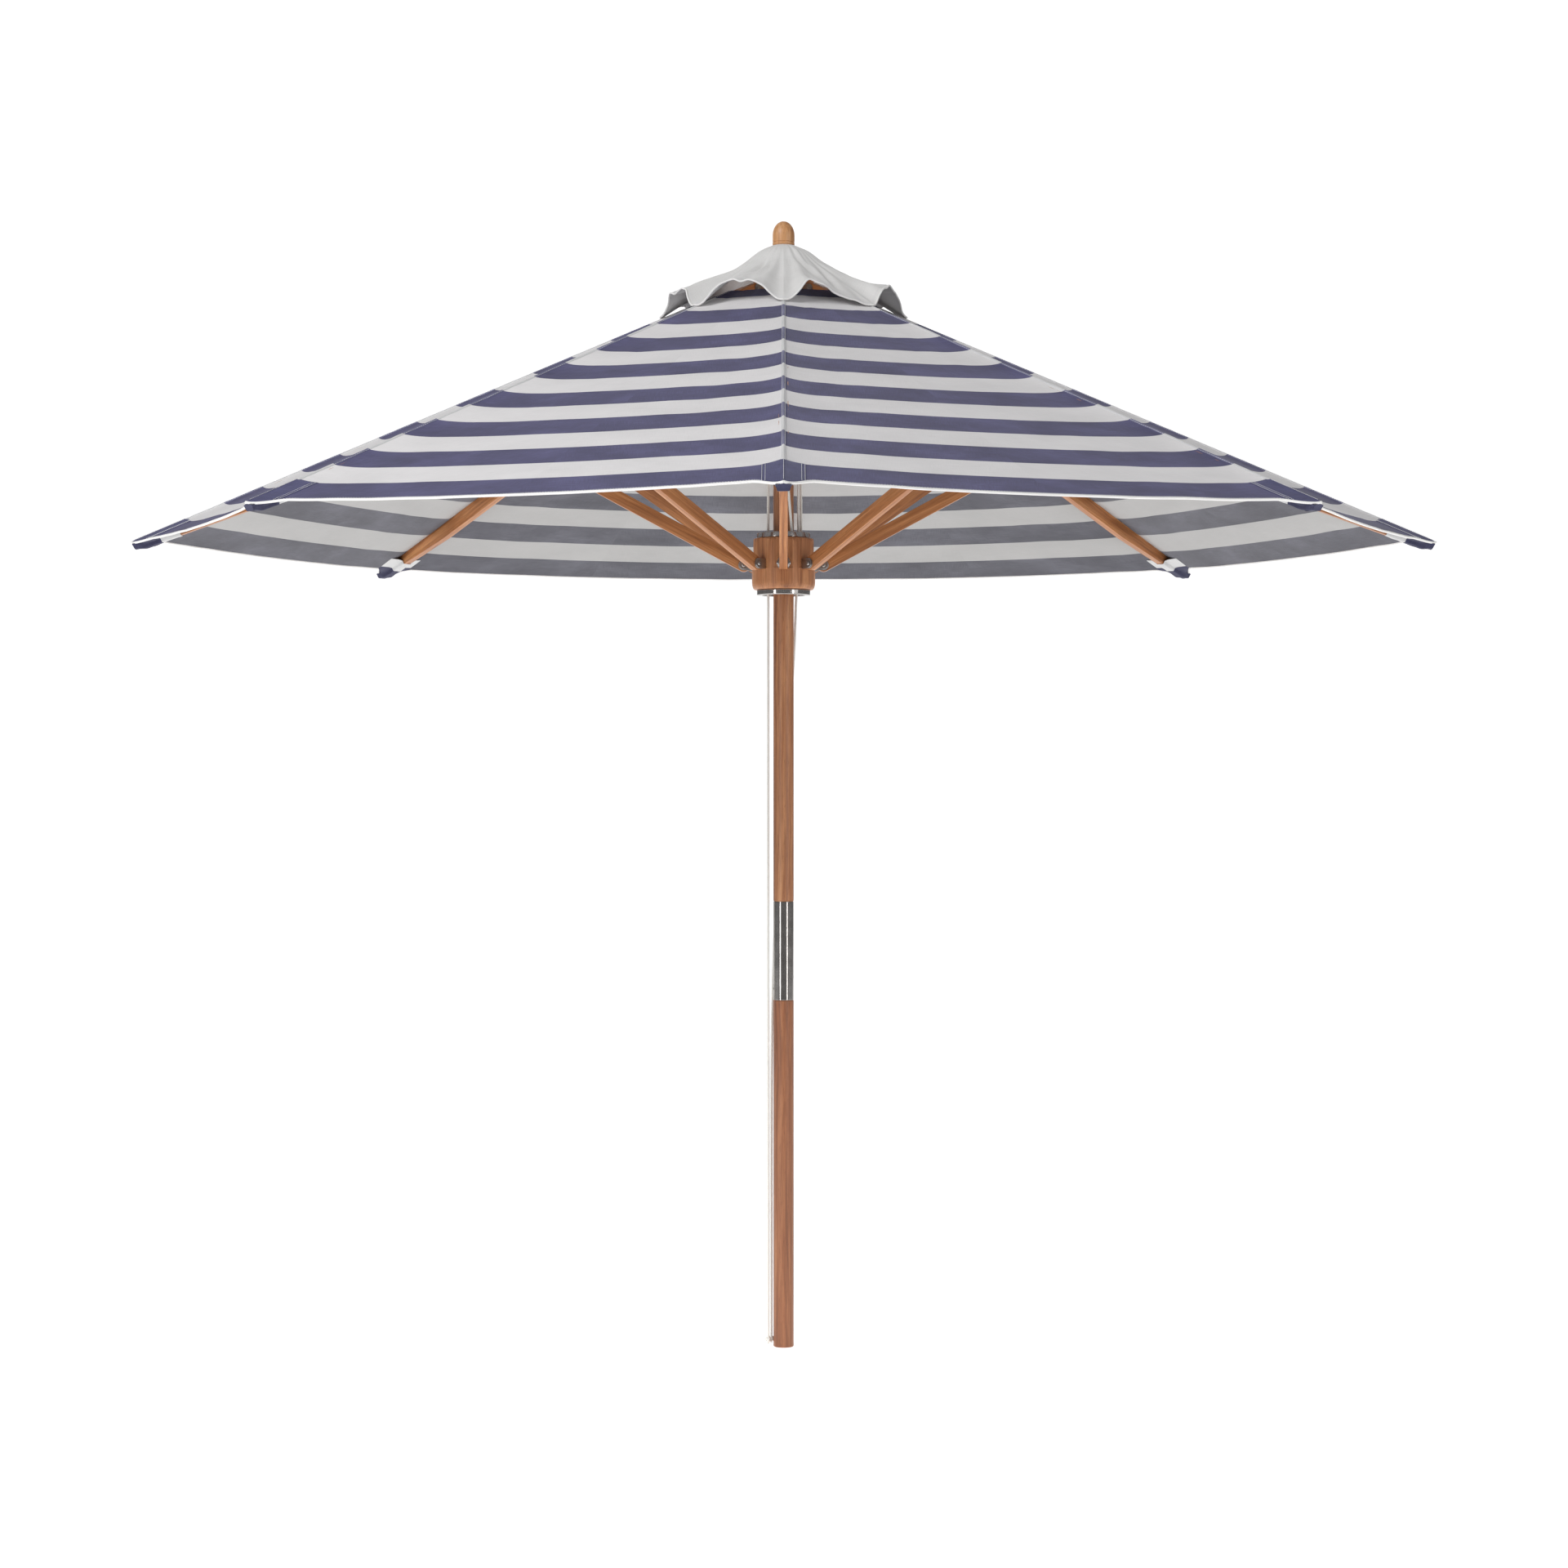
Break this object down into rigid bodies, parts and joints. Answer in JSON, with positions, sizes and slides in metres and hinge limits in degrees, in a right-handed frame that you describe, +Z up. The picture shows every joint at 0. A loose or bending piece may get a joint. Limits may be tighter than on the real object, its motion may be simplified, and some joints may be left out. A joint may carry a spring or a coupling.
{
  "type": "beach umbrella",
  "caption": "Wooden beach umbrella with a striped octagonal canopy, vent cap, folding ribs and struts, and a corded pulley lift.",
  "frame": {"origin": "centre of the flat foot of the pole", "axes": "+Z up the pole; rib 1 and its canopy corner point along -Y, so the umbrella's front is -Y"},
  "size_m": [3, 3, 2.5968],
  "materials": {
    "pole_wood": "satin",
    "frame_wood": "satin",
    "polished_steel": "polished",
    "canopy_canvas": "matte",
    "cord": "matte"
  },
  "bodies": {
    "lower_pole": {"lower_pole": "pole_wood", "pole_sleeve": "polished_steel"},
    "mast": {"upper_pole": "pole_wood", "finial": "pole_wood", "vent_cap": "canopy_canvas", "crown_barrel": "frame_wood", "crown_ring_top": "polished_steel", "crown_ring_bottom": "polished_steel", "crown_brackets": "polished_steel", "crown_left_axle": "polished_steel", "crown_right_axle": "polished_steel", "cord_left": "cord", "cord_right": "cord", "knot_left": "cord", "knot_right": "cord"},
    "crown_left_pulley": {"crown_left_pulley": "polished_steel"},
    "crown_right_pulley": {"crown_right_pulley": "polished_steel"},
    "runner": {"runner_barrel": "frame_wood", "runner_ring_top": "polished_steel", "runner_ring_bottom": "polished_steel", "runner_brackets": "polished_steel", "runner_axle": "polished_steel", "cord_bight": "cord"},
    "runner_pulley": {"runner_pulley": "polished_steel"},
    "rib_1": {"rib_1": "frame_wood"},
    "strut_1": {"strut_1": "frame_wood"},
    "panel_1a": {"panel_1a": "canopy_canvas"},
    "panel_1b": {"panel_1b": "canopy_canvas"},
    "rib_2": {"rib_2": "frame_wood"},
    "strut_2": {"strut_2": "frame_wood"},
    "panel_2a": {"panel_2a": "canopy_canvas"},
    "panel_2b": {"panel_2b": "canopy_canvas"},
    "rib_3": {"rib_3": "frame_wood"},
    "strut_3": {"strut_3": "frame_wood"},
    "panel_3a": {"panel_3a": "canopy_canvas"},
    "panel_3b": {"panel_3b": "canopy_canvas"},
    "rib_4": {"rib_4": "frame_wood"},
    "strut_4": {"strut_4": "frame_wood"},
    "panel_4a": {"panel_4a": "canopy_canvas"},
    "panel_4b": {"panel_4b": "canopy_canvas"},
    "rib_5": {"rib_5": "frame_wood"},
    "strut_5": {"strut_5": "frame_wood"},
    "panel_5a": {"panel_5a": "canopy_canvas"},
    "panel_5b": {"panel_5b": "canopy_canvas"},
    "rib_6": {"rib_6": "frame_wood"},
    "strut_6": {"strut_6": "frame_wood"},
    "panel_6a": {"panel_6a": "canopy_canvas"},
    "panel_6b": {"panel_6b": "canopy_canvas"},
    "rib_7": {"rib_7": "frame_wood"},
    "strut_7": {"strut_7": "frame_wood"},
    "panel_7a": {"panel_7a": "canopy_canvas"},
    "panel_7b": {"panel_7b": "canopy_canvas"},
    "rib_8": {"rib_8": "frame_wood"},
    "strut_8": {"strut_8": "frame_wood"},
    "panel_8a": {"panel_8a": "canopy_canvas"},
    "panel_8b": {"panel_8b": "canopy_canvas"}
  },
  "joints": [
    {"name": "pole_joint", "type": "slide", "parent": "lower_pole", "child": "mast", "axis": [0, 0, 1], "range_m": [0, 0.125]},
    {"name": "rib_1_fold", "type": "hinge", "parent": "mast", "child": "rib_1", "pos_m": [0, -0.092, 2.43029], "axis": [1, 0, 0], "range_deg": [0, 60], "deforming": ["panel_1a", "panel_1b", "panel_2a", "panel_2b", "panel_3a", "panel_3b", "panel_4a", "panel_4b", "panel_5a", "panel_5b", "panel_6a", "panel_6b", "panel_7a", "panel_7b", "panel_8a", "panel_8b", "vent_cap", "cord_bight", "cord_right"]},
    {"name": "strut_1_fold", "type": "hinge", "parent": "rib_1", "child": "strut_1", "pos_m": [0, -0.68225, 2.11645], "axis": [1, 0, 0], "range_deg": [-120.5, 0.5]},
    {"name": "panel_1a_fold", "type": "hinge", "parent": "rib_1", "child": "panel_1a", "pos_m": [0, 0, 2.48893], "axis": [0, -0.922, -0.3872], "range_deg": [-0.5, 67.8]},
    {"name": "panel_1b_fold", "type": "hinge", "parent": "rib_1", "child": "panel_1b", "pos_m": [0, 0, 2.48893], "axis": [0, 0.922, 0.3872], "range_deg": [-0.5, 67.8]},
    {"name": "rib_2_fold", "type": "hinge", "parent": "mast", "child": "rib_2", "pos_m": [0.06505, -0.06505, 2.43029], "axis": [0.7071, 0.7071, 0], "range_deg": [0, 60]},
    {"name": "strut_2_fold", "type": "hinge", "parent": "rib_2", "child": "strut_2", "pos_m": [0.48242, -0.48242, 2.11645], "axis": [0.7071, 0.7071, 0], "range_deg": [-120.5, 0.5]},
    {"name": "panel_2a_fold", "type": "hinge", "parent": "rib_2", "child": "panel_2a", "pos_m": [0, 0, 2.48893], "axis": [0.652, -0.652, -0.3872], "range_deg": [-0.5, 67.8]},
    {"name": "panel_2b_fold", "type": "hinge", "parent": "rib_2", "child": "panel_2b", "pos_m": [0, 0, 2.48893], "axis": [-0.652, 0.652, 0.3872], "range_deg": [-0.5, 67.8]},
    {"name": "rib_3_fold", "type": "hinge", "parent": "mast", "child": "rib_3", "pos_m": [0.092, 0, 2.43029], "axis": [0, 1, 0], "range_deg": [0, 60]},
    {"name": "strut_3_fold", "type": "hinge", "parent": "rib_3", "child": "strut_3", "pos_m": [0.68225, 0, 2.11645], "axis": [0, 1, 0], "range_deg": [-120.5, 0.5]},
    {"name": "panel_3a_fold", "type": "hinge", "parent": "rib_3", "child": "panel_3a", "pos_m": [0, 0, 2.48893], "axis": [0.922, 0, -0.3872], "range_deg": [-0.5, 67.8]},
    {"name": "panel_3b_fold", "type": "hinge", "parent": "rib_3", "child": "panel_3b", "pos_m": [0, 0, 2.48893], "axis": [-0.922, 0, 0.3872], "range_deg": [-0.5, 67.8]},
    {"name": "rib_4_fold", "type": "hinge", "parent": "mast", "child": "rib_4", "pos_m": [0.06505, 0.06505, 2.43029], "axis": [-0.7071, 0.7071, 0], "range_deg": [0, 60]},
    {"name": "strut_4_fold", "type": "hinge", "parent": "rib_4", "child": "strut_4", "pos_m": [0.48242, 0.48242, 2.11645], "axis": [-0.7071, 0.7071, 0], "range_deg": [-120.5, 0.5]},
    {"name": "panel_4a_fold", "type": "hinge", "parent": "rib_4", "child": "panel_4a", "pos_m": [0, 0, 2.48893], "axis": [0.652, 0.652, -0.3872], "range_deg": [-0.5, 67.8]},
    {"name": "panel_4b_fold", "type": "hinge", "parent": "rib_4", "child": "panel_4b", "pos_m": [0, 0, 2.48893], "axis": [-0.652, -0.652, 0.3872], "range_deg": [-0.5, 67.8]},
    {"name": "rib_5_fold", "type": "hinge", "parent": "mast", "child": "rib_5", "pos_m": [0, 0.092, 2.43029], "axis": [-1, 0, 0], "range_deg": [0, 60]},
    {"name": "strut_5_fold", "type": "hinge", "parent": "rib_5", "child": "strut_5", "pos_m": [0, 0.68225, 2.11645], "axis": [-1, 0, 0], "range_deg": [-120.5, 0.5]},
    {"name": "panel_5a_fold", "type": "hinge", "parent": "rib_5", "child": "panel_5a", "pos_m": [0, 0, 2.48893], "axis": [0, 0.922, -0.3872], "range_deg": [-0.5, 67.8]},
    {"name": "panel_5b_fold", "type": "hinge", "parent": "rib_5", "child": "panel_5b", "pos_m": [0, 0, 2.48893], "axis": [0, -0.922, 0.3872], "range_deg": [-0.5, 67.8]},
    {"name": "rib_6_fold", "type": "hinge", "parent": "mast", "child": "rib_6", "pos_m": [-0.06505, 0.06505, 2.43029], "axis": [-0.7071, -0.7071, 0], "range_deg": [0, 60]},
    {"name": "strut_6_fold", "type": "hinge", "parent": "rib_6", "child": "strut_6", "pos_m": [-0.48242, 0.48242, 2.11645], "axis": [-0.7071, -0.7071, 0], "range_deg": [-120.5, 0.5]},
    {"name": "panel_6a_fold", "type": "hinge", "parent": "rib_6", "child": "panel_6a", "pos_m": [0, 0, 2.48893], "axis": [-0.652, 0.652, -0.3872], "range_deg": [-0.5, 67.8]},
    {"name": "panel_6b_fold", "type": "hinge", "parent": "rib_6", "child": "panel_6b", "pos_m": [0, 0, 2.48893], "axis": [0.652, -0.652, 0.3872], "range_deg": [-0.5, 67.8]},
    {"name": "rib_7_fold", "type": "hinge", "parent": "mast", "child": "rib_7", "pos_m": [-0.092, 0, 2.43029], "axis": [0, -1, 0], "range_deg": [0, 60]},
    {"name": "strut_7_fold", "type": "hinge", "parent": "rib_7", "child": "strut_7", "pos_m": [-0.68225, 0, 2.11645], "axis": [0, -1, 0], "range_deg": [-120.5, 0.5]},
    {"name": "panel_7a_fold", "type": "hinge", "parent": "rib_7", "child": "panel_7a", "pos_m": [0, 0, 2.48893], "axis": [-0.922, 0, -0.3872], "range_deg": [-0.5, 67.8]},
    {"name": "panel_7b_fold", "type": "hinge", "parent": "rib_7", "child": "panel_7b", "pos_m": [0, 0, 2.48893], "axis": [0.922, 0, 0.3872], "range_deg": [-0.5, 67.8]},
    {"name": "rib_8_fold", "type": "hinge", "parent": "mast", "child": "rib_8", "pos_m": [-0.06505, -0.06505, 2.43029], "axis": [0.7071, -0.7071, 0], "range_deg": [0, 60]},
    {"name": "strut_8_fold", "type": "hinge", "parent": "rib_8", "child": "strut_8", "pos_m": [-0.48242, -0.48242, 2.11645], "axis": [0.7071, -0.7071, 0], "range_deg": [-120.5, 0.5]},
    {"name": "panel_8a_fold", "type": "hinge", "parent": "rib_8", "child": "panel_8a", "pos_m": [0, 0, 2.48893], "axis": [-0.652, -0.652, -0.3872], "range_deg": [-0.5, 67.8]},
    {"name": "panel_8b_fold", "type": "hinge", "parent": "rib_8", "child": "panel_8b", "pos_m": [0, 0, 2.48893], "axis": [0.652, 0.652, 0.3872], "range_deg": [-0.5, 67.8]},
    {"name": "runner_hold", "type": "hinge", "parent": "strut_1", "child": "runner", "pos_m": [0, -0.092, 1.80261], "axis": [1, 0, 0], "range_deg": [-0.5, 60.5]},
    {"name": "crown_left_pulley_spin", "type": "hinge", "parent": "mast", "child": "crown_left_pulley", "pos_m": [-0.03, -0.0135, 2.40969], "axis": [0.9261, 0.3773, 0], "continuous": true},
    {"name": "crown_right_pulley_spin", "type": "hinge", "parent": "mast", "child": "crown_right_pulley", "pos_m": [0.0361, 0.008, 2.40969], "axis": [-0.9909, 0.1345, 0], "continuous": true},
    {"name": "runner_pulley_spin", "type": "hinge", "parent": "runner", "child": "runner_pulley", "pos_m": [0.02835, -0.0185, 1.83501], "axis": [-0.9057, 0.4239, 0], "continuous": true}
  ],
  "couplings": [
    {"joint": "strut_1_fold", "follows": "rib_1_fold", "ratio": -2},
    {"joint": "panel_1a_fold", "follows": "rib_1_fold", "ratio": 1.1217},
    {"joint": "panel_1b_fold", "follows": "rib_1_fold", "ratio": 1.1217},
    {"joint": "rib_2_fold", "follows": "rib_1_fold", "ratio": 1},
    {"joint": "strut_2_fold", "follows": "rib_1_fold", "ratio": -2},
    {"joint": "panel_2a_fold", "follows": "rib_1_fold", "ratio": 1.1217},
    {"joint": "panel_2b_fold", "follows": "rib_1_fold", "ratio": 1.1217},
    {"joint": "rib_3_fold", "follows": "rib_1_fold", "ratio": 1},
    {"joint": "strut_3_fold", "follows": "rib_1_fold", "ratio": -2},
    {"joint": "panel_3a_fold", "follows": "rib_1_fold", "ratio": 1.1217},
    {"joint": "panel_3b_fold", "follows": "rib_1_fold", "ratio": 1.1217},
    {"joint": "rib_4_fold", "follows": "rib_1_fold", "ratio": 1},
    {"joint": "strut_4_fold", "follows": "rib_1_fold", "ratio": -2},
    {"joint": "panel_4a_fold", "follows": "rib_1_fold", "ratio": 1.1217},
    {"joint": "panel_4b_fold", "follows": "rib_1_fold", "ratio": 1.1217},
    {"joint": "rib_5_fold", "follows": "rib_1_fold", "ratio": 1},
    {"joint": "strut_5_fold", "follows": "rib_1_fold", "ratio": -2},
    {"joint": "panel_5a_fold", "follows": "rib_1_fold", "ratio": 1.1217},
    {"joint": "panel_5b_fold", "follows": "rib_1_fold", "ratio": 1.1217},
    {"joint": "rib_6_fold", "follows": "rib_1_fold", "ratio": 1},
    {"joint": "strut_6_fold", "follows": "rib_1_fold", "ratio": -2},
    {"joint": "panel_6a_fold", "follows": "rib_1_fold", "ratio": 1.1217},
    {"joint": "panel_6b_fold", "follows": "rib_1_fold", "ratio": 1.1217},
    {"joint": "rib_7_fold", "follows": "rib_1_fold", "ratio": 1},
    {"joint": "strut_7_fold", "follows": "rib_1_fold", "ratio": -2},
    {"joint": "panel_7a_fold", "follows": "rib_1_fold", "ratio": 1.1217},
    {"joint": "panel_7b_fold", "follows": "rib_1_fold", "ratio": 1.1217},
    {"joint": "rib_8_fold", "follows": "rib_1_fold", "ratio": 1},
    {"joint": "strut_8_fold", "follows": "rib_1_fold", "ratio": -2},
    {"joint": "panel_8a_fold", "follows": "rib_1_fold", "ratio": 1.1217},
    {"joint": "panel_8b_fold", "follows": "rib_1_fold", "ratio": 1.1217},
    {"joint": "runner_hold", "follows": "rib_1_fold", "ratio": 1}
  ]
}
